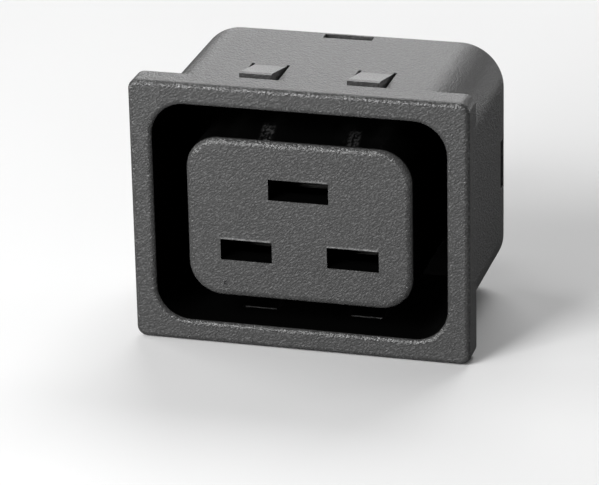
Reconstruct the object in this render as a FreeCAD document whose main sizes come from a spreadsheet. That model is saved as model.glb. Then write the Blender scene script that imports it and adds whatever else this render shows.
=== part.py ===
import FreeCAD, Part
import os
import Sketcher

# Snap-in power outlet for a panel, 16/20 A pattern with three flat contacts.
# Frame: the panel's front skin lies in the plane y = 0, the outlet's face looks
# towards -Y, +Z is up and +X is to the right when looking at the face.  The
# origin is the centre of the panel cut-out, in the plane of the flange's seat.
# Millimetres throughout.

V = FreeCAD.Vector
doc = FreeCAD.newDocument("outlet")

# ---------------------------------------------------------------- dimensions
sheet = doc.addObject("Spreadsheet::Sheet", "Dims")
TABLE = [
    # flange and snap-in body
    ("flange_w", 41.05), ("flange_ht", 32.65), ("flange_thk", 3.5),
    ("flange_rad", 1.2), ("flange_edge", 0.6),
    ("wall", 1.25), ("body_len", 22.0), ("lead", 0.3),
    # ring-shaped recess for the plug's skirt
    ("open_w", 35.6), ("open_ht", 27.3), ("open_rad", 4.1), ("open_edge", 0.55),
    ("recess_len", 20.0), ("floor_thk", 2.0),
    # core that carries the contacts
    ("core_w", 27.45), ("core_ht", 20.05), ("core_rad", 4.1), ("core_edge", 0.85),
    ("core_drop", 0.12), ("face_thk", 3.0),
    # pin slots
    ("pitch", 13.0), ("rise", 4.0), ("slot_ln_w", 6.3), ("slot_pe_w", 7.3),
    ("slot_ht", 2.6),
    # contact chambers, open to the rear
    ("room_ln_w", 8.4), ("room_pe_w", 9.4), ("room_ht", 5.6), ("room_rad", 0.6),
    # moulding core-outs beside the earth chamber
    ("cored_w", 5.4), ("cored_ht", 5.6), ("cored_x", 9.4), ("cored_z", 4.6),
    ("cored_len", 16.0), ("cored_rad", 1.2),
    # four latch tongues, cut free by a U-shaped slit
    ("latch_x", 6.55), ("latch_w", 3.9),
    ("latch_gap", 0.4), ("latch_side", 0.4), ("latch_y", 1.85), ("latch_len", 7.0),
    ("latch_lift", 1.15), ("latch_flat", 0.7),
    # rear cover and its snap tabs
    ("cover_play", 0.15), ("cover_thk", 2.4), ("tab_back", 1.35), ("tab_w", 5.6), ("tab_thk", 1.1),
    ("tab_out", 0.8), ("win_w", 6.1), ("win_thk", 1.4), ("pad_rad", 1.6),
    ("boss_w", 10.2), ("boss_ht", 4.4), ("boss_len", 1.0), ("boss_rad", 1.9),
    ("fence_thk", 1.1), ("fence_len", 2.6), ("fence_w", 23.0),
    ("hole_w", 6.8), ("hole_ht", 1.3),
    # contacts: folded strip, double thickness at the blade
    ("strip", 0.4), ("leaf_ln_w", 5.8), ("leaf_pe_w", 6.8), ("leaf_z", 1.75),
    ("pinch_z", 1.25), ("mouth_z", 1.95), ("mouth_y", 3.2), ("pinch_y", 5.4),
    ("swell_y", 8.2), ("neck_y", 16.8), ("ear_w", 10.4),
    ("blade_w", 6.3), ("blade_end", 31.0), ("blade_tip", 0.9),
    ("eye_dia", 1.65), ("eye_back", 4.0),
    # backing springs: C-shaped clips round the leaves
    ("clip_thk", 0.35), ("clip_play", 0.15), ("clip_y", 9.4), ("clip_len", 6.2),
]
for i, (alias, value) in enumerate(TABLE, start=1):
    sheet.set("A%d" % i, alias)
    sheet.set("B%d" % i, str(value))
    sheet.setAlias("B%d" % i, alias)
doc.recompute()


def num(expr):
    """Value of an expression written with the sheet's aliases."""
    names = {a: float(sheet.get(a)) for a, _ in TABLE}
    total, sign, word = 0.0, 1.0, ""
    for ch in expr.replace(" ", "") + "+":
        if ch in "+-" and word:
            term = 1.0
            divide = False
            piece = ""
            for c2 in word + "*":
                if c2 in "*/":
                    f = names[piece] if piece in names else float(piece)
                    term = term / f if divide else term * f
                    divide = c2 == "/"
                    piece = ""
                else:
                    piece += c2
            total += sign * term
            word = ""
            sign = -1.0 if ch == "-" else 1.0
        elif ch in "+-":
            sign = -sign if ch == "-" else sign
        else:
            word += ch
    return total


def bound(expr):
    """The same expression, with each alias read from the sheet."""
    out, word = "", ""
    names = [a for a, _ in TABLE]
    for ch in expr + " ":
        if ch.isalnum() or ch in "_.":
            word += ch
        else:
            if word:
                out += ("Dims." + word) if word in names else word
                word = ""
            out += ch
    return out.strip()


# ------------------------------------------------------------- small helpers
def plane(body, role):
    for f in body.Origin.OriginFeatures:
        if f.Role == role:
            return f
    raise RuntimeError(role)


def new_body(label):
    body = doc.addObject("PartDesign::Body", label)
    body.Label = label
    return body


def new_sketch(body, name, role, at=("0", "0", "0")):
    """Sketch on an origin plane, shifted by expressions in the plane's own axes."""
    s = body.newObject("Sketcher::SketchObject", name)
    s.AttachmentSupport = [(plane(body, role), "")]
    s.MapMode = "FlatFace"
    for axis, expr in zip("xyz", at):
        if expr != "0":
            s.setExpression("AttachmentOffset.Base." + axis, bound(expr))
    return s


def rectangle(s, width, height):
    """Rectangle centred on the sketch's origin, its two sizes bound to the sheet."""
    w, h = num(width) / 2, num(height) / 2
    pts = [V(-w, -h, 0), V(w, -h, 0), V(w, h, 0), V(-w, h, 0)]
    for i in range(4):
        s.addGeometry(Part.LineSegment(pts[i], pts[(i + 1) % 4]), False)
    for i in range(4):
        s.addConstraint(Sketcher.Constraint("Coincident", i, 2, (i + 1) % 4, 1))
    for i, kind in enumerate(("Horizontal", "Vertical", "Horizontal", "Vertical")):
        s.addConstraint(Sketcher.Constraint(kind, i))
    s.addConstraint(Sketcher.Constraint("Symmetric", 0, 1, 1, 2, -1, 1))
    a = s.addConstraint(Sketcher.Constraint("DistanceX", 0, 1, 0, 2, 2 * w))
    b = s.addConstraint(Sketcher.Constraint("DistanceY", 1, 1, 1, 2, 2 * h))
    s.setExpression("Constraints[%d]" % a, bound(width))
    s.setExpression("Constraints[%d]" % b, bound(height))


def circle(s, diameter):
    """Circle centred on the sketch's origin."""
    s.addGeometry(Part.Circle(V(0, 0, 0), V(0, 0, 1), num(diameter) / 2), False)
    s.addConstraint(Sketcher.Constraint("Coincident", 0, 3, -1, 1))
    a = s.addConstraint(Sketcher.Constraint("Diameter", 0, num(diameter)))
    s.setExpression("Constraints[%d]" % a, bound(diameter))


def polygon(s, points):
    """Closed outline; every corner's two distances from the origin are bound."""
    n = len(points)
    xy = [V(num(a), num(b), 0) for a, b in points]
    for i in range(n):
        s.addGeometry(Part.LineSegment(xy[i], xy[(i + 1) % n]), False)
    for i in range(n):
        s.addConstraint(Sketcher.Constraint("Coincident", i, 2, (i + 1) % n, 1))
    for i, (a, b) in enumerate(points):
        for kind, expr, val in (("DistanceX", a, xy[i].x), ("DistanceY", b, xy[i].y)):
            if abs(val) < 1e-9:
                line = -2 if kind == "DistanceX" else -1
                s.addConstraint(Sketcher.Constraint("PointOnObject", i, 1, line))
            elif val > 0:
                c = s.addConstraint(Sketcher.Constraint(kind, -1, 1, i, 1, val))
                s.setExpression("Constraints[%d]" % c, bound(expr))
            else:
                c = s.addConstraint(Sketcher.Constraint(kind, i, 1, -1, 1, -val))
                s.setExpression("Constraints[%d]" % c, "-(" + bound(expr) + ")")


def feature(body, kind, name, sketch, length, back=False, mid=False):
    before = body.Shape.Volume if body.Shape and not body.Shape.isNull() else 0.0
    f = body.newObject("PartDesign::" + kind, name)
    f.Profile = sketch
    f.Length = num(length)
    f.setExpression("Length", bound(length))
    f.Reversed = back
    f.Midplane = mid
    body.Tip = f
    doc.recompute()
    change = body.Shape.Volume - before
    if (kind == "Pad") != (change > 0) or abs(change) < 1e-4:
        raise RuntimeError("%s.%s changed the volume by %.4f" % (body.Label, name, change))
    return f


def pick(body, test):
    """Names of the tip's edges whose end and middle points all pass the test."""
    out = []
    for i, e in enumerate(body.Tip.Shape.Edges, start=1):
        a, b = e.ParameterRange
        pts = [e.valueAt(a + (b - a) * k / 4.0) for k in range(5)]
        if test(pts):
            out.append("Edge%d" % i)
    return out


def dress(body, kind, name, size, test, want):
    edges = pick(body, test)
    if len(edges) != want:
        raise RuntimeError("%s.%s found %d edges, wanted %d" % (body.Label, name, len(edges), want))
    base = body.Tip
    f = body.newObject("PartDesign::" + kind, name)
    f.Base = (base, edges)
    prop = "Radius" if kind == "Fillet" else "Size"
    setattr(f, prop, num(size))
    f.setExpression(prop, bound(size))
    body.Tip = f
    doc.recompute()
    if f.Shape.isNull() or not f.Shape.isValid():
        raise RuntimeError(body.Label + "." + name + " failed")
    return f


def near(a, b, tol=0.02):
    return abs(a - b) < tol


def along_y(x, z, y0, y1, x_c=0.0, z_c=0.0):
    """Edges parallel to Y at the four corners (x_c +- x, z_c +- z)."""
    def test(pts):
        return all(near(abs(p.x - x_c), x) and near(abs(p.z - z_c), z)
                   and y0 - 0.05 < p.y < y1 + 0.05 for p in pts) and \
            abs(pts[0].y - pts[-1].y) > 0.1
    return test


def loop_at_y(y, x0, x1, z0, z1, x_c=0.0, z_c=0.0, inner=None):
    """Edges lying in the plane y, inside one box and outside another."""
    def test(pts):
        for p in pts:
            if not near(p.y, y):
                return False
            if not (x0 - 0.02 < p.x - x_c < x1 + 0.02 and z0 - 0.02 < p.z - z_c < z1 + 0.02):
                return False
            if inner and abs(p.x - x_c) < inner[0] and abs(p.z - z_c) < inner[1]:
                return False
        return True
    return test


# -------------------------------------------------------------------- housing
# One moulding: flange, snap-in body with its latch tongues, ring-shaped recess,
# core with the pin slots, contact chambers and the rim that takes the cover.
housing = new_body("housing")

s = new_sketch(housing, "flange_outline", "XZ_Plane")
rectangle(s, "flange_w", "flange_ht")
feature(housing, "Pad", "flange", s, "flange_thk")
dress(housing, "Fillet", "flange_corners", "flange_rad",
      along_y(num("flange_w/2"), num("flange_ht/2"), -num("flange_thk"), 0), 4)

s = new_sketch(housing, "body_outline", "XZ_Plane")
rectangle(s, "open_w+2*wall", "open_ht+2*wall")
feature(housing, "Pad", "snap_body", s, "body_len", back=True)

s = new_sketch(housing, "recess_outline", "XZ_Plane", ("0", "0", "flange_thk"))
rectangle(s, "open_w", "open_ht")
feature(housing, "Pocket", "recess", s, "recess_len")
dress(housing, "Fillet", "recess_corners", "open_rad",
      along_y(num("open_w/2"), num("open_ht/2"), -num("flange_thk"),
              num("recess_len-flange_thk")), 4)

s = new_sketch(housing, "core_outline", "XZ_Plane", ("0", "-core_drop", "flange_thk"))
rectangle(s, "core_w", "core_ht")
feature(housing, "Pad", "core", s, "recess_len", back=True)
dress(housing, "Fillet", "core_corners", "core_rad",
      along_y(num("core_w/2"), num("core_ht/2"), -num("flange_thk"),
              num("recess_len-flange_thk"), 0.0, -num("core_drop")), 4)

# rim behind the floor: the cover drops in here
s = new_sketch(housing, "rim_outline", "XZ_Plane", ("0", "0", "-body_len"))
rectangle(s, "open_w", "open_ht")
feature(housing, "Pocket", "rim", s, "body_len+flange_thk-recess_len-floor_thk", back=True)
dress(housing, "Fillet", "rim_corners", "open_rad",
      along_y(num("open_w/2"), num("open_ht/2"),
              num("recess_len-flange_thk+floor_thk"), num("body_len")), 4)

dress(housing, "Fillet", "body_corners", "open_rad+wall",
      along_y(num("open_w/2+wall"), num("open_ht/2+wall"), 0, num("body_len")), 4)

# chambers from the rear, pin slots from the face
FLOOR_BACK = "recess_len-flange_thk+floor_thk"
SEATS = (
    ("line", "pitch/2", "-rise-core_drop", "ln"),
    ("neutral", "-pitch/2", "-rise-core_drop", "ln"),
    ("earth", "0", "rise-core_drop", "pe"),
)
for who, ex, ez, size in SEATS:
    cx, cz = num(ex), num(ez)
    s = new_sketch(housing, "chamber_%s_outline" % who, "XZ_Plane",
                   (ex, ez, "flange_thk-recess_len-floor_thk"))
    rectangle(s, "room_%s_w" % size, "room_ht")
    feature(housing, "Pocket", "chamber_" + who, s,
            "recess_len+floor_thk-face_thk", back=True)
    dress(housing, "Fillet", "chamber_%s_corners" % who, "room_rad",
          along_y(num("room_%s_w/2" % size), num("room_ht/2"),
                  num("face_thk-flange_thk"), num(FLOOR_BACK), cx, cz), 4)
    s = new_sketch(housing, "slot_%s_outline" % who, "XZ_Plane", (ex, ez, "flange_thk"))
    rectangle(s, "slot_%s_w" % size, "slot_ht")
    feature(housing, "Pocket", "slot_" + who, s, "face_thk")

# core-outs that keep the moulding's section even
for side, sgn in (("right", ""), ("left", "-")):
    s = new_sketch(housing, "coreout_%s_outline" % side, "XZ_Plane",
                   (sgn + "cored_x", "cored_z-core_drop", "flange_thk-recess_len-floor_thk"))
    rectangle(s, "cored_w", "cored_ht")
    feature(housing, "Pocket", "coreout_" + side, s, "cored_len", back=True)
    k = -1 if sgn else 1
    dress(housing, "Fillet", "coreout_%s_corners" % side, "cored_rad",
          along_y(num("cored_w/2"), num("cored_ht/2"), 0, num(FLOOR_BACK),
                  k * num("cored_x"), num("cored_z-core_drop")), 4)

# latch tongues: a U-shaped slit through the wall, then a ramp on the tongue
for row, lx, up in (("top", "latch_x", 1), ("low", "latch_x", -1)):
    for side, sx in (("right", "+"), ("left", "-")):
        tag = "%s_%s" % (row, side)
        cx = lx if sx == "+" else "-" + lx
        zz = "open_ht/2+wall" if up > 0 else "-open_ht/2-wall"
        s = new_sketch(housing, "latch_slit_" + tag, "XY_Plane", (cx, "0", zz))
        hw, ow = "latch_w/2", "latch_w/2+latch_side"
        y0, y1, y2 = "latch_y", "latch_y+latch_gap", "latch_y+latch_gap+latch_len"
        polygon(s, [("-latch_w/2-latch_side", y0), (ow, y0), (ow, y2), (hw, y2), (hw, y1),
                    ("-latch_w/2", y1), ("-latch_w/2", y2), ("-latch_w/2-latch_side", y2)])
        feature(housing, "Pocket", "latch_cut_" + tag, s, "wall+0.2", back=(up < 0))
        s = new_sketch(housing, "latch_ramp_" + tag, "YZ_Plane", ("0", "0", cx))
        if up > 0:
            base, top = "open_ht/2+wall-0.3", "open_ht/2+wall+latch_lift"
            skin = "open_ht/2+wall"
        else:
            base, top = "-open_ht/2-wall+0.3", "-open_ht/2-wall-latch_lift"
            skin = "-open_ht/2-wall"
        polygon(s, [(y1, base), (y1, top), (y1 + "+latch_flat", top),
                    ("latch_y+latch_gap+latch_len-0.6", skin),
                    ("latch_y+latch_gap+latch_len-0.6", base)])
        feature(housing, "Pad", "latch_" + tag, s, "latch_w", mid=True)

# lead-in round the rear of the body, so that it finds the cut-out
def on_outline(y, w, ht, r):
    """Edges in the plane y that follow a rounded rectangle of this size."""
    def test(pts):
        for p in pts:
            qx, qz = abs(p.x) - w / 2 + r, abs(p.z) - ht / 2 + r
            gap = (max(qx, 0.0) ** 2 + max(qz, 0.0) ** 2) ** 0.5 + min(max(qx, qz), 0.0) - r
            if not near(p.y, y) or not near(gap, 0.0):
                return False
        return True
    return test


dress(housing, "Chamfer", "body_lead", "lead",
      on_outline(num("body_len"), num("open_w+2*wall"), num("open_ht+2*wall"),
                 num("open_rad+wall")), 8)

# windows in the rim for the cover's snap tabs
WY = "body_len-tab_back"
s = new_sketch(housing, "window_sides_outline", "YZ_Plane", (WY, "0", "0"))
rectangle(s, "win_thk", "win_w")
feature(housing, "Pocket", "window_sides", s, "open_w+3*wall", mid=True)
s = new_sketch(housing, "window_ends_outline", "XY_Plane", ("0", WY, "0"))
rectangle(s, "win_w", "win_thk")
feature(housing, "Pocket", "window_ends", s, "open_ht+3*wall", mid=True)

# soft edges on the face, drawn last
FT = -num("flange_thk")
dress(housing, "Fillet", "flange_soft_edge", "flange_edge",
      loop_at_y(FT, -num("flange_w/2"), num("flange_w/2"), -num("flange_ht/2"),
                num("flange_ht/2"), inner=(num("flange_w/2-1.3"), num("flange_ht/2-1.3"))), 8)
dress(housing, "Fillet", "opening_soft_edge", "open_edge",
      loop_at_y(FT, -num("open_w/2"), num("open_w/2"), -num("open_ht/2"), num("open_ht/2"),
                inner=(num("open_w/2-2.0"), num("open_ht/2-2.0"))), 8)
dress(housing, "Fillet", "core_soft_edge", "core_edge",
      loop_at_y(FT, -num("core_w/2"), num("core_w/2"), -num("core_ht/2"), num("core_ht/2"),
                0.0, -num("core_drop"), inner=(num("core_w/2-2.0"), num("core_ht/2-2.0"))), 8)

# ----------------------------------------------------------------- rear cover
cover = new_body("rear_cover")
s = new_sketch(cover, "plate_outline", "XZ_Plane", ("0", "0", "-body_len"))
rectangle(s, "open_w-2*cover_play", "open_ht-2*cover_play")
feature(cover, "Pad", "plate", s, "cover_thk")
dress(cover, "Fillet", "plate_corners", "open_rad-cover_play",
      along_y(num("open_w/2-cover_play"), num("open_ht/2-cover_play"),
              num("body_len-cover_thk"), num("body_len")), 4)
# snap tabs on the four sides, ramped towards the front
TY = "body_len-tab_back"
for side, sgn in (("right", 1), ("left", -1)):
    s = new_sketch(cover, "tab_%s_outline" % side, "XY_Plane")
    edge = "open_w/2-cover_play"
    if sgn > 0:
        pts = [(edge + "-0.5", TY + "-tab_thk/2"), (edge + "+0.1", TY + "-tab_thk/2"),
               (edge + "+tab_out", TY + "+tab_thk/4"), (edge + "+tab_out", TY + "+tab_thk/2"),
               (edge + "-0.5", TY + "+tab_thk/2")]
    else:
        m = "-open_w/2+cover_play"
        pts = [(m + "+0.5", TY + "-tab_thk/2"), (m + "-0.1", TY + "-tab_thk/2"),
               (m + "-tab_out", TY + "+tab_thk/4"), (m + "-tab_out", TY + "+tab_thk/2"),
               (m + "+0.5", TY + "+tab_thk/2")]
    polygon(s, pts)
    feature(cover, "Pad", "tab_" + side, s, "tab_w", mid=True)
for side, sgn in (("top", 1), ("low", -1)):
    s = new_sketch(cover, "tab_%s_outline" % side, "YZ_Plane")
    if sgn > 0:
        m = "open_ht/2-cover_play"
        pts = [(TY + "-tab_thk/2", m + "-0.5"), (TY + "-tab_thk/2", m + "+0.1"),
               (TY + "+tab_thk/4", m + "+tab_out"), (TY + "+tab_thk/2", m + "+tab_out"),
               (TY + "+tab_thk/2", m + "-0.5")]
    else:
        m = "-open_ht/2+cover_play"
        pts = [(TY + "-tab_thk/2", m + "+0.5"), (TY + "-tab_thk/2", m + "-0.1"),
               (TY + "+tab_thk/4", m + "-tab_out"), (TY + "+tab_thk/2", m + "-tab_out"),
               (TY + "+tab_thk/2", m + "+0.5")]
    polygon(s, pts)
    feature(cover, "Pad", "tab_" + side, s, "tab_w", mid=True)
# standoff pads that seat on the housing's floor
for i, (sx, sz) in enumerate(((1, 1), (-1, 1), (-1, -1), (1, -1)), start=1):
    ex = "open_w/2-3.6" if sx > 0 else "-open_w/2+3.6"
    ez = "open_ht/2-3.6" if sz > 0 else "-open_ht/2+3.6"
    s = new_sketch(cover, "pad_%d_outline" % i, "XZ_Plane", (ex, ez, "cover_thk-body_len"))
    circle(s, "2*pad_rad")
    feature(cover, "Pad", "pad_%d" % i, s,
            "body_len-cover_thk-recess_len+flange_thk-floor_thk")
# a collar round each blade, and fences that keep the blades' sleeves apart
for who, ex, ez, size in SEATS:
    cx, cz = num(ex), num(ez)
    s = new_sketch(cover, "boss_%s_outline" % who, "XZ_Plane", (ex, ez, "-body_len"))
    rectangle(s, "boss_w", "boss_ht")
    feature(cover, "Pad", "boss_" + who, s, "boss_len", back=True)
    dress(cover, "Fillet", "boss_%s_corners" % who, "boss_rad",
          along_y(num("boss_w/2"), num("boss_ht/2"), num("body_len"),
                  num("body_len+boss_len"), cx, cz), 4)
s = new_sketch(cover, "fence_level_outline", "XZ_Plane", ("0", "-core_drop", "-body_len"))
rectangle(s, "fence_w", "fence_thk")
feature(cover, "Pad", "fence_level", s, "fence_len", back=True)
s = new_sketch(cover, "fence_upright_outline", "XZ_Plane",
               ("0", "-core_drop-rise-0.6", "-body_len"))
rectangle(s, "fence_thk", "2*rise-0.6")
feature(cover, "Pad", "fence_upright", s, "fence_len", back=True)
for who, ex, ez, size in SEATS:
    s = new_sketch(cover, "blade_hole_%s_outline" % who, "XZ_Plane",
                   (ex, ez, "-body_len-boss_len"))
    rectangle(s, "hole_w", "hole_ht")
    feature(cover, "Pocket", "blade_hole_" + who, s, "cover_thk+boss_len+0.2", back=True)
RB = num("body_len")
dress(cover, "Fillet", "plate_soft_edge", "0.4",
      lambda pts: all(near(p.y, RB) and abs(p.x) < num("open_w/2") and abs(p.z) < num("open_ht/2")
                      and (abs(p.x) > num("open_w/2-4.3") or abs(p.z) > num("open_ht/2-4.3"))
                      and (near(abs(p.x), num("open_w/2-cover_play")) or
                           near(abs(p.z), num("open_ht/2-cover_play")) or
                           (abs(p.x) > num("open_w/2-4.3") and abs(p.z) > num("open_ht/2-4.3")))
                      for p in pts), 8)


# ------------------------------------------------------------------- contacts
# Each contact is one folded strip: a blade of double thickness for a push-on
# receptacle, two ears trapped between floor and cover, and two spring leaves.
def contact(label, leaf, ex, ez):
    b = new_body(label)
    s = new_sketch(b, "leaves_outline", "YZ_Plane")
    half = [("neck_y+2.6", "strip"), ("neck_y+1.8", "strip"), ("neck_y", "leaf_z"),
            ("swell_y", "leaf_z"), ("pinch_y", "pinch_z"), ("mouth_y", "mouth_z"),
            ("mouth_y", "mouth_z-strip"), ("pinch_y", "pinch_z-strip"),
            ("swell_y", "leaf_z-strip"), ("neck_y-0.15", "leaf_z-strip")]
    pts = list(half) + [("neck_y+1.45", "0")]
    for y, z in reversed(half):
        terms = z.split("-")
        pts.append((y, "-" + terms[0] + ("+" + terms[1] if len(terms) > 1 else "")))
    polygon(s, pts)
    feature(b, "Pad", "leaves", s, leaf, mid=True)
    s = new_sketch(b, "ears_outline", "XY_Plane", ("0", "recess_len/2-flange_thk/2+floor_thk/2"
                                                   "+body_len/2-cover_thk/2", "0"))
    rectangle(s, "ear_w", "body_len-cover_thk-recess_len+flange_thk-floor_thk")
    feature(b, "Pad", "ears", s, "2*strip", mid=True)
    s = new_sketch(b, "blade_outline", "XY_Plane")
    y0 = "recess_len-flange_thk+floor_thk+0.2"
    polygon(s, [("-blade_w/2", y0), ("blade_w/2", y0),
                ("blade_w/2", "blade_end-1.6*blade_tip"),
                ("blade_w/2-blade_tip", "blade_end"), ("-blade_w/2+blade_tip", "blade_end"),
                ("-blade_w/2", "blade_end-1.6*blade_tip")])
    feature(b, "Pad", "blade", s, "2*strip", mid=True)
    s = new_sketch(b, "eye_outline", "XY_Plane", ("0", "blade_end-eye_back", "strip"))
    circle(s, "eye_dia")
    feature(b, "Pocket", "eye", s, "3*strip")
    end = num("blade_end")
    dress(b, "Chamfer", "blade_tip_bevel", "0.22",
          lambda pts: all(near(p.y, end) and near(abs(p.z), num("strip")) for p in pts), 2)
    # bends in the strip
    for name, y, z, r in (("bend_neck", "neck_y", "leaf_z", "0.7"),
                          ("bend_swell", "swell_y", "leaf_z", "1.6"),
                          ("bend_pinch", "pinch_y", "pinch_z-strip", "0.8")):
        yy, zz = num(y), num(z)
        dress(b, "Fillet", name, r,
              lambda pts, yy=yy, zz=zz: all(near(p.y, yy) and near(abs(p.z), zz) for p in pts), 2)
    b.setExpression("Placement.Base.x", bound(ex))
    b.setExpression("Placement.Base.z", bound(ez))
    doc.recompute()
    return b


# backing springs: a C-shaped clip of hard strip pushed on from the side
def spring(label, leaf, ex, ez, flip):
    b = new_body(label)
    s = new_sketch(b, "clip_outline", "XZ_Plane", ("0", "0", "-clip_y"))
    k = "-" if flip else ""
    m = "" if flip else "-"
    xo = m + leaf + "/2" + ("+" if flip else "-") + "clip_play" + ("+" if flip else "-") + "clip_thk"
    xi = m + leaf + "/2" + ("+" if flip else "-") + "clip_play"
    xe = k + leaf + "/2" + ("+" if flip else "-") + "0.35"
    polygon(s, [(xo, "-leaf_z-clip_thk"), (xe, "-leaf_z-clip_thk"), (xe, "-leaf_z"),
                (xi, "-leaf_z"), (xi, "leaf_z"), (xe, "leaf_z"),
                (xe, "leaf_z+clip_thk"), (xo, "leaf_z+clip_thk")])
    feature(b, "Pad", "clip", s, "clip_len", back=True)
    xo_v = num(xo)
    dress(b, "Fillet", "clip_bend", "0.3",
          lambda pts: all(near(p.x, xo_v) and near(abs(p.z), num("leaf_z+clip_thk"))
                          for p in pts), 2)
    b.setExpression("Placement.Base.x", bound(ex))
    b.setExpression("Placement.Base.z", bound(ez))
    doc.recompute()
    return b


parts = [housing, cover]
for who, ex, ez, size in SEATS:
    parts.append(contact("contact_" + who, "leaf_%s_w" % size, ex, ez))
for who, ex, ez, size in SEATS:
    parts.append(spring("spring_" + who, "leaf_%s_w" % size, ex, ez, who == "neutral"))

# --------------------------------------------------------------- check, write
doc.recompute()
bad = [o.Name for o in doc.Objects if "Invalid" in o.State or "Error" in o.State]
if bad:
    raise RuntimeError("failed objects: " + ", ".join(bad))
os.makedirs("parts", exist_ok=True)
for b in parts:
    shape = b.Shape
    if shape.isNull() or not shape.isValid() or len(shape.Solids) != 1:
        raise RuntimeError("%s: %d solids" % (b.Label, len(shape.Solids)))
for b in parts:
    b.Shape.exportStep("parts/%s.step" % b.Label)
    bb = b.Shape.BoundBox
    print("%-16s %9.2f mm3  x %.2f..%.2f  y %.2f..%.2f  z %.2f..%.2f" % (
        b.Label, b.Shape.Volume, bb.XMin, bb.XMax, bb.YMin, bb.YMax, bb.ZMin, bb.ZMax))
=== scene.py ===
import math

import bpy
from mathutils import Matrix, Vector


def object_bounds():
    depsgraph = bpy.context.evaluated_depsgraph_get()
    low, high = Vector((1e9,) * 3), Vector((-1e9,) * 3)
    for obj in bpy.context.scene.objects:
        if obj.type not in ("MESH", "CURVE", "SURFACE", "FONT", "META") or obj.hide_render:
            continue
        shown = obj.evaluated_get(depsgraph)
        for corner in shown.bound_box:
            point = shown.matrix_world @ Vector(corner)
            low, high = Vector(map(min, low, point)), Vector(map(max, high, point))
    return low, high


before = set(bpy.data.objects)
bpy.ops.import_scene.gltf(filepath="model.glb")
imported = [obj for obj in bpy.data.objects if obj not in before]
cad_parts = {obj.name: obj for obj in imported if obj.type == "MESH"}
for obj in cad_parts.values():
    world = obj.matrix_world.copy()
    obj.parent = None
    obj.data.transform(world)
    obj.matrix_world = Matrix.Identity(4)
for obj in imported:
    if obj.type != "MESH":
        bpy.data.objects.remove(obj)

CAD_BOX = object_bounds()

# ------------------------------------------------------------------ sizes
# The same figures as the CAD's sheet, in metres.
MM = 0.001
FLANGE_T = 3.5 * MM
FLANGE_W, FLANGE_H = 41.05 * MM, 32.65 * MM
OPEN_W, OPEN_H, OPEN_R = 35.6 * MM, 27.3 * MM, 4.1 * MM
CORE_W, CORE_H, CORE_R = 27.45 * MM, 20.05 * MM, 4.1 * MM
CORE_DROP = 0.12 * MM
BODY_W, BODY_H, BODY_R = 38.1 * MM, 29.8 * MM, 5.35 * MM
SLOTS = (
    (6.5 * MM, -4.12 * MM, 6.3 * MM, 2.6 * MM),
    (-6.5 * MM, -4.12 * MM, 6.3 * MM, 2.6 * MM),
    (0.0, 3.88 * MM, 7.3 * MM, 2.6 * MM),
)


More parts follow.
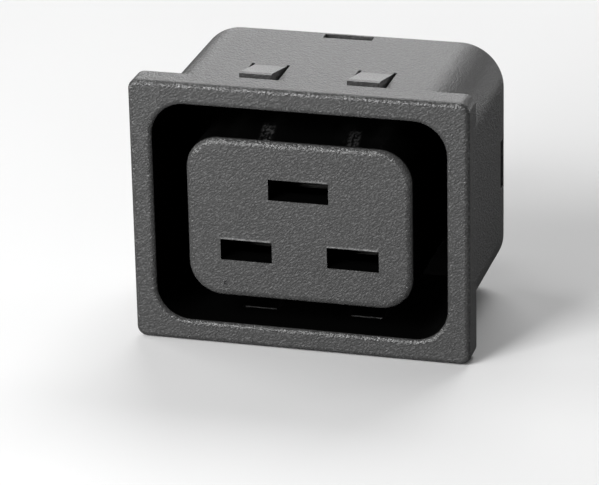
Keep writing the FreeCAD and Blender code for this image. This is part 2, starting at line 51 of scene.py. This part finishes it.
# ------------------------------------------------------- node-tree helpers
class Graph:
    """Short way to write a material's node tree."""

    def __init__(self, name):
        self.mat = bpy.data.materials.new(name)
        self.mat.use_nodes = True
        self.t = self.mat.node_tree
        self.t.nodes.clear()
        self.out = self.t.nodes.new("ShaderNodeOutputMaterial")
        self.coord = self.t.nodes.new("ShaderNodeTexCoord")

    def node(self, kind, **props):
        n = self.t.nodes.new(kind)
        for k, v in props.items():
            setattr(n, k, v)
        return n

    def put(self, socket, value):
        if isinstance(value, bpy.types.NodeSocket):
            self.t.links.new(value, socket)
        else:
            socket.default_value = value

    def math(self, op, a, b=None, c=None, clamp=False):
        n = self.node("ShaderNodeMath", operation=op, use_clamp=clamp)
        for s, v in zip(n.inputs, (a, b, c)):
            if v is not None:
                self.put(s, v)
        return n.outputs[0]

    def add(self, a, b):
        return self.math("ADD", a, b)

    def sub(self, a, b):
        return self.math("SUBTRACT", a, b)

    def mul(self, a, b):
        return self.math("MULTIPLY", a, b)

    def low(self, a, b):
        return self.math("MINIMUM", a, b)

    def high(self, a, b):
        return self.math("MAXIMUM", a, b)

    def step(self, x, lo, hi, y0=0.0, y1=1.0, smooth=True):
        n = self.node("ShaderNodeMapRange")
        n.interpolation_type = "SMOOTHSTEP" if smooth else "LINEAR"
        n.clamp = True if not smooth else n.clamp
        self.put(n.inputs["Value"], x)
        n.inputs["From Min"].default_value = lo
        n.inputs["From Max"].default_value = hi
        n.inputs["To Min"].default_value = y0
        n.inputs["To Max"].default_value = y1
        return n.outputs["Result"]

    def xyz(self):
        n = self.node("ShaderNodeSeparateXYZ")
        self.put(n.inputs[0], self.coord.outputs["Object"])
        return n.outputs

    def noise(self, vec, scale, detail=2.0, rough=0.5, lac=2.0, dist=0.0):
        n = self.node("ShaderNodeTexNoise", noise_dimensions="3D")
        self.put(n.inputs["Vector"], vec)
        n.inputs["Scale"].default_value = scale
        n.inputs["Detail"].default_value = detail
        n.inputs["Roughness"].default_value = rough
        n.inputs["Lacunarity"].default_value = lac
        n.inputs["Distortion"].default_value = dist
        return n.outputs["Fac"]

    def map(self, rot=(0, 0, 0), scale=(1, 1, 1), loc=(0, 0, 0), vec=None):
        n = self.node("ShaderNodeMapping")
        self.put(n.inputs["Vector"], vec or self.coord.outputs["Object"])
        n.inputs["Rotation"].default_value = rot
        n.inputs["Scale"].default_value = scale
        n.inputs["Location"].default_value = loc
        return n.outputs[0]

    def mix(self, fac, a, b):
        n = self.node("ShaderNodeMix", data_type="RGBA")
        self.put(n.inputs["Factor"], fac)
        self.put(n.inputs["A"] if False else n.inputs[6], a)
        self.put(n.inputs[7], b)
        return n.outputs[2]

    def mixf(self, fac, a, b):
        n = self.node("ShaderNodeMix", data_type="FLOAT")
        self.put(n.inputs[0], fac)
        self.put(n.inputs[2], a)
        self.put(n.inputs[3], b)
        return n.outputs[0]

    def bump(self, height, strength, distance, normal=None):
        n = self.node("ShaderNodeBump")
        self.put(n.inputs["Strength"], strength)
        n.inputs["Distance"].default_value = distance
        self.put(n.inputs["Height"], height)
        if normal is not None:
            self.put(n.inputs["Normal"], normal)
        return n.outputs[0]

    def rounded(self, x, z, w, h, r, cx=0.0, cz=0.0):
        """Signed distance to a rounded rectangle in the XZ plane, in metres."""
        qx = self.sub(self.math("ABSOLUTE", self.sub(x, cx)), w / 2 - r)
        qz = self.sub(self.math("ABSOLUTE", self.sub(z, cz)), h / 2 - r)
        ox, oz = self.high(qx, 0.0), self.high(qz, 0.0)
        out = self.math("SQRT", self.add(self.mul(ox, ox), self.mul(oz, oz)))
        ins = self.low(self.high(qx, qz), 0.0)
        return self.sub(self.add(out, ins), r)

    def shader(self, **sockets):
        n = self.node("ShaderNodeBsdfPrincipled")
        for k, v in sockets.items():
            self.put(n.inputs[k.replace("_", " ")], v)
        self.t.links.new(n.outputs[0], self.out.inputs[0])
        return n


def colour(v, tint=(1.0, 1.0, 1.0)):
    return (v * tint[0], v * tint[1], v * tint[2], 1.0)


# ------------------------------------------------------------ the moulding
GRAIN_S = 4800.0        # grain frequency, per metre
GRAIN_D = 0.00012       # depth that the bump stands for
GLINT_PAINT = 1.10            # painted glint: how much lighter the tips of the grain are
HOLLOW_SHADE = 0.10              # painted shade: how much darker its hollows are
SKIN = 0.051            # albedo of the black moulding
SKIN_ROUGH = 0.45
EDGE_ROUGH = 0.15
EDGE_SOFT = 0.0


# painted light: lighter streaks on the core's upper side, where light falls on it; start, end (x, y), half
# width, strength
PAINTED_LIGHT_STREAKS = (
    ((-3.9 * MM, -3.3 * MM), (-5.05 * MM, 3.2 * MM), 0.95 * MM, 2.2),
    ((6.5 * MM, -3.0 * MM), (5.5 * MM, 3.2 * MM), 0.90 * MM, 1.5),
)
# how much lighter the painted light patch on the core's right side is
SIDE_PAINTED_LIGHT = 14.0
SPECK = (-9.17 * MM, -8.36 * MM)


def moulding(name):
    g = Graph(name)
    x, y, z = g.xyz()
    d_open = g.rounded(x, z, OPEN_W, OPEN_H, OPEN_R)
    d_core = g.rounded(x, z, CORE_W, CORE_H, CORE_R, 0.0, -CORE_DROP)
    # inside the ring-shaped recess, past the soft edges of lip and core: a smoother finish, and near-black
    # painted shade
    within = g.step(d_open, 0.00002, 0.00006, 1.0, 0.0, False)
    mid_gap = g.step(g.sub(d_open, g.mul(d_core, -1.0)), -0.0006, 0.0006, 0.0, 1.0)
    past_core = g.step(y, -FLANGE_T + 0.00036, -FLANGE_T + 0.00062, 0.0, 1.0)
    past_lip = g.step(y, -FLANGE_T + 0.00028, -FLANGE_T + 0.00048, 0.0, 1.0)
    inside = g.mul(within, g.mixf(mid_gap, past_core, past_lip))
    # inside the pin slots: the same smoother finish and near-black painted shade
    in_core = g.step(d_core, -0.0012, -0.0010, 1.0, 0.0, False)
    past_face = g.step(y, -FLANGE_T + 0.00002, -FLANGE_T + 0.00008, 0.0, 1.0, False)
    # mask of the smoother finish and of the near-black painted shade inside recess and slots
    smooth = g.math("MAXIMUM", inside, g.mul(in_core, past_face), clamp=True)

    # spark-eroded grain: fine, drawn out a little along one diagonal of the face
    vec = g.map(scale=(0.62, 1.0, 1.0), vec=g.map(rot=(0.0, math.radians(40.0), 0.0)))
    fine = g.noise(vec, GRAIN_S, 1.5, 0.55)
    mid = g.noise(vec, GRAIN_S * 0.42, 1.0, 0.5)
    height = g.add(fine, g.mul(mid, 0.5))
    # ridge along the upper lips of the pin slots: a bump, and the mask of a painted highlight line
    ridge = None
    for cx, cz, w, h in SLOTS:
        top = cz + h / 2
        band = g.step(g.math("ABSOLUTE", g.sub(z, top + 0.00009)), 0.00003, 0.00018, 1.0, 0.0)
        span = g.step(g.math("ABSOLUTE", g.sub(x, cx)), w / 2 - 0.0002, w / 2 + 0.0001, 1.0, 0.0)
        part = g.mul(band, span)
        if cx == 0.0:
            part = g.mul(g.mul(part, g.step(x, -0.0002, 0.0024, 0.0, 1.0)), 0.7)
        ridge = part if ridge is None else g.high(ridge, part)
    front = g.step(y, -FLANGE_T + 0.00002, -FLANGE_T + 0.00008, 1.0, 0.0, False)
    ridge = g.mul(ridge, front)

    # rounded edges of lip, core and flange: rubbed a little smoother than the faces
    d_flange = g.rounded(x, z, FLANGE_W, FLANGE_H, 1.2 * MM)
    at_face = g.step(y, -FLANGE_T + 0.00022, -FLANGE_T + 0.00042, 1.0, 0.0)
    rim_core = g.mul(g.step(d_core, -0.00100, -0.00065, 0.0, 1.0), g.step(d_core, 0.0, 0.0002, 1.0, 0.0))
    rim_lip = g.mul(g.step(d_open, 0.00045, 0.00070, 1.0, 0.0), g.step(d_open, -0.0002, -0.0001, 0.0, 1.0))
    rim_out = g.step(d_flange, -0.00075, -0.00050, 0.0, 1.0)
    edge = g.mul(g.high(rim_core, g.high(rim_lip, rim_out)), at_face)

    rough_skin = g.sub(1.0, smooth)
    n1 = g.bump(height, g.mul(rough_skin, g.sub(1.0, g.mul(edge, EDGE_SOFT))), GRAIN_D)
    n2 = g.bump(ridge, g.mul(front, 0.9), 0.00012, n1)
    soft = g.noise(g.coord.outputs["Object"], 180.0, 3.0, 0.6)

    # grain tone, random: lighter on the grain's tips as painted glints, darker in its hollows as painted
    # shade
    painted_glints = g.mul(g.step(fine, 0.50, 0.80, 0.0, GLINT_PAINT), rough_skin)
    painted_hollow_shade = g.mul(g.step(fine, 0.22, 0.50, HOLLOW_SHADE, 0.0), rough_skin)
    tone = g.add(g.sub(painted_glints, painted_hollow_shade), g.step(soft, 0.3, 0.7, -0.03, 0.03))
    # painted highlight: the upper lips of the slots are lightened along the ridge, broken up by noise
    painted_lip_highlight = g.mul(ridge, g.step(g.noise(g.coord.outputs["Object"], 1500.0, 2.0, 0.6), 0.35, 0.60, 0.4, 1.0))
    base = g.mul(g.add(g.add(1.0, tone), g.mul(painted_lip_highlight, 2.4)), SKIN)

    # painted light: faint lighter streaks on the core's upper side and a lit patch on its right side,
    # broken up by the grain
    broken = g.step(g.noise(g.map(scale=(1.0, 0.35, 1.0)), 3600.0, 2.0, 0.6), 0.42, 0.66, 0.0, 1.0)
    painted_light = None
    for (x0, y0), (x1, y1), half, amount in PAINTED_LIGHT_STREAKS:
        centre = g.add(g.mul(g.sub(y, y0), (x1 - x0) / (y1 - y0)), x0)
        m = g.step(g.math("ABSOLUTE", g.sub(x, centre)), half * 0.55, half, amount, 0.0)
        m = g.mul(m, g.step(y, y0, y0 + 0.0004, 0.0, 1.0))
        m = g.mul(m, g.step(y, y1 - 0.0016, y1, 1.0, 0.0))
        painted_light = m if painted_light is None else g.high(painted_light, m)
    painted_light = g.mul(painted_light, g.step(z, CORE_H / 2 - CORE_DROP - 0.0003, CORE_H / 2 - CORE_DROP - 0.0001, 0.0, 1.0))
    painted_light = g.mul(painted_light, g.step(z, CORE_H / 2 + 0.0008, CORE_H / 2 + 0.0010, 1.0, 0.0))
    lines = g.step(g.noise(g.map(scale=(1.0, 0.02, 1.0)), 2600.0, 1.0, 0.5), 0.40, 0.62, 0.35, 1.0)
    # painted light patch on the core's right side, below z -7.5 mm, with a sloping lower edge
    low = g.add(g.mul(g.sub(y, 0.00493), -0.46), -0.0075)
    side = g.mul(g.step(g.sub(z, low), 0.0, 0.0003, 0.0, 1.0), g.step(z, -0.0076, -0.0073, 1.0, 0.0))
    side = g.mul(side, g.mul(g.step(x, 0.0105, 0.0108, 0.0, 1.0), g.step(x, 0.0139, 0.0141, 1.0, 0.0)))
    side = g.mul(side, g.mul(g.step(y, 0.0050, 0.0054, 0.0, 1.0), g.step(y, 0.0134, 0.0138, 1.0, 0.0)))
    painted_light = g.high(g.mul(painted_light, broken), g.mul(g.mul(side, lines), SIDE_PAINTED_LIGHT))
    # painted shade: inside recess and slots the colour drops to near-black, far darker than the moulding,
    # with the painted light marks on it
    value = g.mixf(smooth, base, g.add(0.0020, g.mul(painted_light, 0.030)))
    # one dark speck on the core's face
    speck = g.mul(g.step(g.math("ABSOLUTE", g.sub(x, SPECK[0])), 0.00010, 0.00022, 1.0, 0.0),
                  g.step(g.math("ABSOLUTE", g.sub(z, SPECK[1])), 0.00012, 0.00030, 1.0, 0.0))
    value = g.mul(value, g.sub(1.0, g.mul(speck, 0.8)))
    col = g.node("ShaderNodeCombineColor")
    for s in col.inputs:
        g.put(s, value)
    skin_rough = g.mixf(edge, SKIN_ROUGH, EDGE_ROUGH)
    rough = g.mixf(smooth, g.add(skin_rough, g.mul(g.sub(fine, 0.5), 0.25)), 0.34)
    g.shader(Base_Color=col.outputs[0], Roughness=rough, Normal=n2, IOR=1.46,
             Specular_IOR_Level=g.mixf(smooth, 0.5, 0.10))
    return g.mat


def cover_plastic(name):
    g = Graph(name)
    fine = g.noise(g.coord.outputs["Object"], 2400.0, 2.0, 0.5)
    soft = g.noise(g.coord.outputs["Object"], 160.0, 3.0, 0.6)
    base = g.mul(g.add(0.92, g.add(g.mul(fine, 0.12), g.mul(soft, 0.14))), 0.050)
    col = g.node("ShaderNodeCombineColor")
    for s in col.inputs:
        g.put(s, base)
    n = g.bump(fine, 0.25, 0.00008)
    g.shader(Base_Color=col.outputs[0], Roughness=g.add(0.38, g.mul(soft, 0.16)), Normal=n, IOR=1.46)
    return g.mat


def plated_strip(name, tint, rough0, metal=1.0):
    g = Graph(name)
    rolled = g.noise(g.map(scale=(1.0, 0.06, 1.0)), 5200.0, 3.0, 0.6)
    stain = g.noise(g.coord.outputs["Object"], 420.0, 3.0, 0.55)
    v = g.add(g.step(rolled, 0.3, 0.7, 0.93, 1.04), g.step(stain, 0.35, 0.7, 0.0, -0.10))
    x, y, z = g.xyz()
    # painted shade: the strips' colour drops to a tenth where they sit behind the pin slots, y under 10 mm
    v = g.mul(v, g.step(y, 0.010, 0.019, 0.10, 1.0))
    col = g.node("ShaderNodeCombineColor")
    for s, k in zip(col.inputs, tint):
        g.put(s, g.mul(v, k))
    n = g.bump(rolled, 0.22, 0.00004)
    g.shader(Base_Color=col.outputs[0], Metallic=metal,
             Roughness=g.add(rough0, g.mul(stain, 0.18)), Normal=n)
    return g.mat


HOUSING = moulding("housing_moulding")
COVER = cover_plastic("cover_moulding")
TIN = plated_strip("tinned_strip", (0.74, 0.73, 0.70), 0.32, 0.72)
STEEL = plated_strip("spring_strip", (0.52, 0.53, 0.56), 0.22)

for node, mat in (("housing", HOUSING), ("rear_cover", COVER), ("contact_line", TIN),
                  ("contact_neutral", TIN), ("contact_earth", TIN), ("spring_line", STEEL),
                  ("spring_neutral", STEEL), ("spring_earth", STEEL)):
    o = bpy.data.objects[node]
    if not o.material_slots:
        o.data.materials.append(mat)
    for s in o.material_slots:
        s.material = mat


# ------------------------------------------------------------------- stage
def surface(name, verts, faces, mat):
    me = bpy.data.meshes.new(name)
    me.from_pydata(verts, [], faces)
    me.materials.append(mat)
    o = bpy.data.objects.new(name, me)
    bpy.context.scene.collection.objects.link(o)
    return o


def floor_paint(name):
    """Pale matt floor that passes into the plain backdrop away from the object."""
    g = Graph(name)
    x, y, z = g.xyz()
    n = g.noise(g.coord.outputs["Object"], 6.0, 3.0, 0.5)
    reach = g.math("SQRT", g.add(g.mul(x, x), g.mul(y, y)))
    near = g.step(reach, 0.10, 0.34, 1.0, 0.0)
    v = g.mul(g.step(n, 0.3, 0.7, 0.80, 0.83), near)
    col = g.node("ShaderNodeCombineColor")
    for s in col.inputs:
        g.put(s, v)
    g.shader(Base_Color=col.outputs[0], Roughness=0.9, Specular_IOR_Level=0.0,
             Emission_Color=(1.0, 1.0, 1.0, 1.0), Emission_Strength=g.mul(g.sub(1.0, near), BACKDROP))
    return g.mat


BACKDROP = 0.80

# The flange stands on the floor; the snap-in body reaches back over it.
FLOOR_Z = CAD_BOX[0].z - 0.0001
R = 1.6
floor = surface("floor", [(-R, -R, FLOOR_Z), (R, -R, FLOOR_Z), (R, R, FLOOR_Z), (-R, R, FLOOR_Z)],
                [(0, 1, 2, 3)], floor_paint("floor_paint"))
floor.visible_glossy = False


# ------------------------------------------------------------------ lights
def lamp(name, az, el, dist, size, power, size_y=None, aim=(0.0, 0.0, 0.0), spread=None):
    """Area lamp.  az 0 is in front of the face, 90 on its right-hand side."""
    a, e = math.radians(az), math.radians(el)
    d = Vector((math.sin(a) * math.cos(e), -math.cos(a) * math.cos(e), math.sin(e)))
    light = bpy.data.lights.new(name, "AREA")
    light.shape = "RECTANGLE"
    light.size = size
    light.size_y = size_y or size
    light.energy = power
    if spread is not None:
        light.spread = math.radians(spread)
    o = bpy.data.objects.new(name, light)
    o.matrix_world = Matrix.Translation(Vector(aim) + d * dist) @ \
        (-d).to_track_quat("-Z", "Y").to_matrix().to_4x4()
    bpy.context.scene.collection.objects.link(o)
    return o


AMBIENT = 0.010
lamp("key_high", -30, 42, 0.40, 0.16, 0.531)
lamp("key_mid", -30, 30, 0.40, 0.16, 0.867)
lamp("front_low", -22, 8, 0.55, 0.16, 0.834)
lamp("front_left", -60, 8, 0.55, 0.16, 1.107)
lamp("back_low", 195, 6, 0.55, 0.20, 0.520)
lamp("back_mid", 195, 25, 0.55, 0.20, 0.257)
lamp("back_high", 195, 50, 0.55, 0.20, 0.509)
lamp("back_right_high", 165, 50, 0.55, 0.20, 0.949)
lamp("back_right_low", 165, 6, 0.55, 0.20, 0.072)
lamp("side_right", 135, 6, 0.55, 0.20, 0.794)
lamp("side_left", 255, 50, 0.55, 0.20, 0.519)

world = bpy.data.worlds.new("studio")
world.use_nodes = True
wt = world.node_tree
sky = wt.nodes["Background"]
sky.inputs[0].default_value = (1, 1, 1, 1)
sky.inputs[1].default_value = AMBIENT
backdrop = wt.nodes.new("ShaderNodeBackground")
backdrop.inputs[0].default_value = (1, 1, 1, 1)
backdrop.inputs[1].default_value = BACKDROP
path = wt.nodes.new("ShaderNodeLightPath")
pick = wt.nodes.new("ShaderNodeMixShader")
wt.links.new(path.outputs["Is Camera Ray"], pick.inputs[0])
wt.links.new(sky.outputs[0], pick.inputs[1])
wt.links.new(backdrop.outputs[0], pick.inputs[2])
wt.links.new(pick.outputs[0], wt.nodes["World Output"].inputs[0])
bpy.context.scene.world = world

# ------------------------------------------------------------------ camera
cam_data = bpy.data.cameras.new("camera")
cam_data.sensor_fit = "HORIZONTAL"
cam_data.sensor_width = 36.0
cam_data.lens = 3601.2 * 36.0 / 599.0
cam_data.clip_start = 0.01
cam_data.clip_end = 20.0
cam_data.dof.use_dof = False
cam = bpy.data.objects.new("camera", cam_data)
EYE = Vector((0.10684, -0.37684 - FLANGE_T, 0.15685))
right = Vector((0.964126, 0.264683, -0.020103)).normalized()
down = Vector((0.081784, -0.368245, -0.926125)).normalized()
ahead = right.cross(down).normalized()
if ahead.y < 0:
    ahead = -ahead
cam.matrix_world = Matrix(((right.x, -down.x, -ahead.x, EYE.x),
                           (right.y, -down.y, -ahead.y, EYE.y),
                           (right.z, -down.z, -ahead.z, EYE.z),
                           (0, 0, 0, 1)))
bpy.context.scene.collection.objects.link(cam)
bpy.context.scene.camera = cam

view = bpy.context.scene.view_settings
view.view_transform = "Standard"
view.look = "None"
view.exposure = 0.0
view.gamma = 1.0
